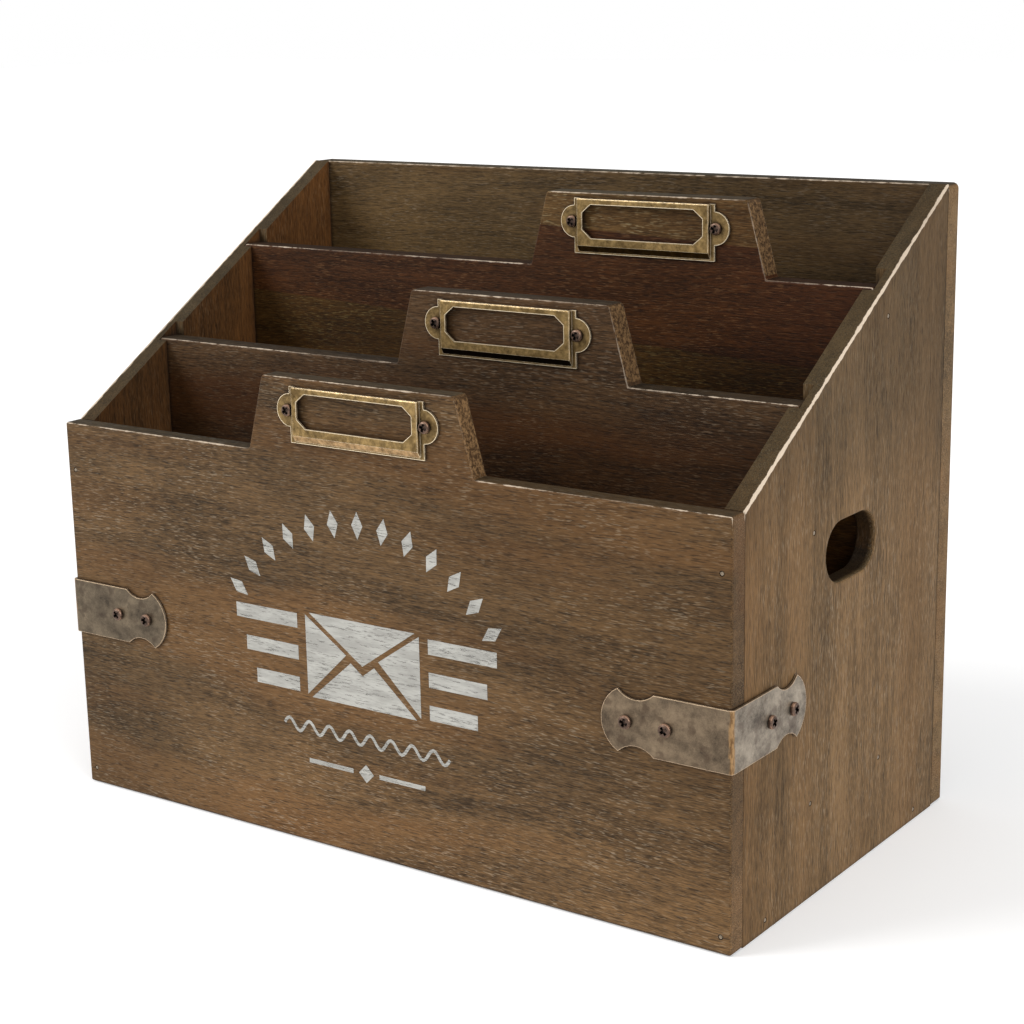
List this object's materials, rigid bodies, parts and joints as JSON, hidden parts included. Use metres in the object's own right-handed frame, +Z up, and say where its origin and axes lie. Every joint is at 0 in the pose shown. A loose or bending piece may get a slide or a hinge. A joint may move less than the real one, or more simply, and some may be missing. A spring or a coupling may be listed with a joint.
{
  "type": "desk organizer",
  "caption": "Wooden desk letter organizer with a sloping profile, deep pockets between tabbed dividers, brass label frames, corner straps and side hand holes.",
  "frame": {"origin": "centre of the whole object's footprint, on the surface it stands on", "axes": "+Z up, -Y towards the front with the low panel, +X to the right as seen from the front"},
  "size_m": [0.3466, 0.1923, 0.272],
  "materials": {
    "front_wood": "medium brown stain, matt, worn pale edges, grain along X",
    "side_wood": "grey-brown stain, matt, worn pale edges, grain upright",
    "divider_wood": "dark brown stain, matt, grain along X",
    "back_wood": "dark brown stain, matt, grain along X",
    "antique_brass": "antique brass, satin, bright worn edges",
    "antique_bronze": "sheet steel with a mottled antique bronze plating, copper coloured worn edges",
    "dark_bronze": "steel with a dark bronze plating",
    "bright_steel": "bare drawn steel"
  },
  "bodies": {
    "root": {"front_panel": "front_wood", "left_side_panel": "side_wood", "right_side_panel": "side_wood", "back_panel": "back_wood", "bottom_panel": "side_wood", "middle_divider": "divider_wood", "rear_divider": "divider_wood", "back_panel_brad_1": "bright_steel", "back_panel_brad_2": "bright_steel", "back_panel_brad_3": "bright_steel", "back_panel_brad_4": "bright_steel", "back_panel_brad_5": "bright_steel", "back_panel_brad_6": "bright_steel", "bottom_panel_brad_1": "bright_steel", "bottom_panel_brad_2": "bright_steel", "bottom_panel_brad_3": "bright_steel", "bottom_panel_brad_4": "bright_steel", "bracket_screw_left_1": "dark_bronze", "bracket_screw_left_2": "dark_bronze", "bracket_screw_left_3": "dark_bronze", "bracket_screw_left_4": "dark_bronze", "bracket_screw_right_1": "dark_bronze", "bracket_screw_right_2": "dark_bronze", "bracket_screw_right_3": "dark_bronze", "bracket_screw_right_4": "dark_bronze", "corner_bracket_left": "antique_bronze", "corner_bracket_right": "antique_bronze", "front_panel_brad_1": "bright_steel", "front_panel_brad_2": "bright_steel", "front_panel_brad_3": "bright_steel", "front_panel_brad_4": "bright_steel", "label_frame_front": "antique_brass", "label_frame_middle": "antique_brass", "label_frame_rear": "antique_brass", "label_screw_front_1": "dark_bronze", "label_screw_front_2": "dark_bronze", "label_screw_middle_1": "dark_bronze", "label_screw_middle_2": "dark_bronze", "label_screw_rear_1": "dark_bronze", "label_screw_rear_2": "dark_bronze", "middle_divider_brad_1": "bright_steel", "middle_divider_brad_2": "bright_steel", "middle_divider_brad_3": "bright_steel", "middle_divider_brad_4": "bright_steel", "rear_divider_brad_1": "bright_steel", "rear_divider_brad_2": "bright_steel", "rear_divider_brad_3": "bright_steel", "rear_divider_brad_4": "bright_steel"}
  },
  "joints": []
}
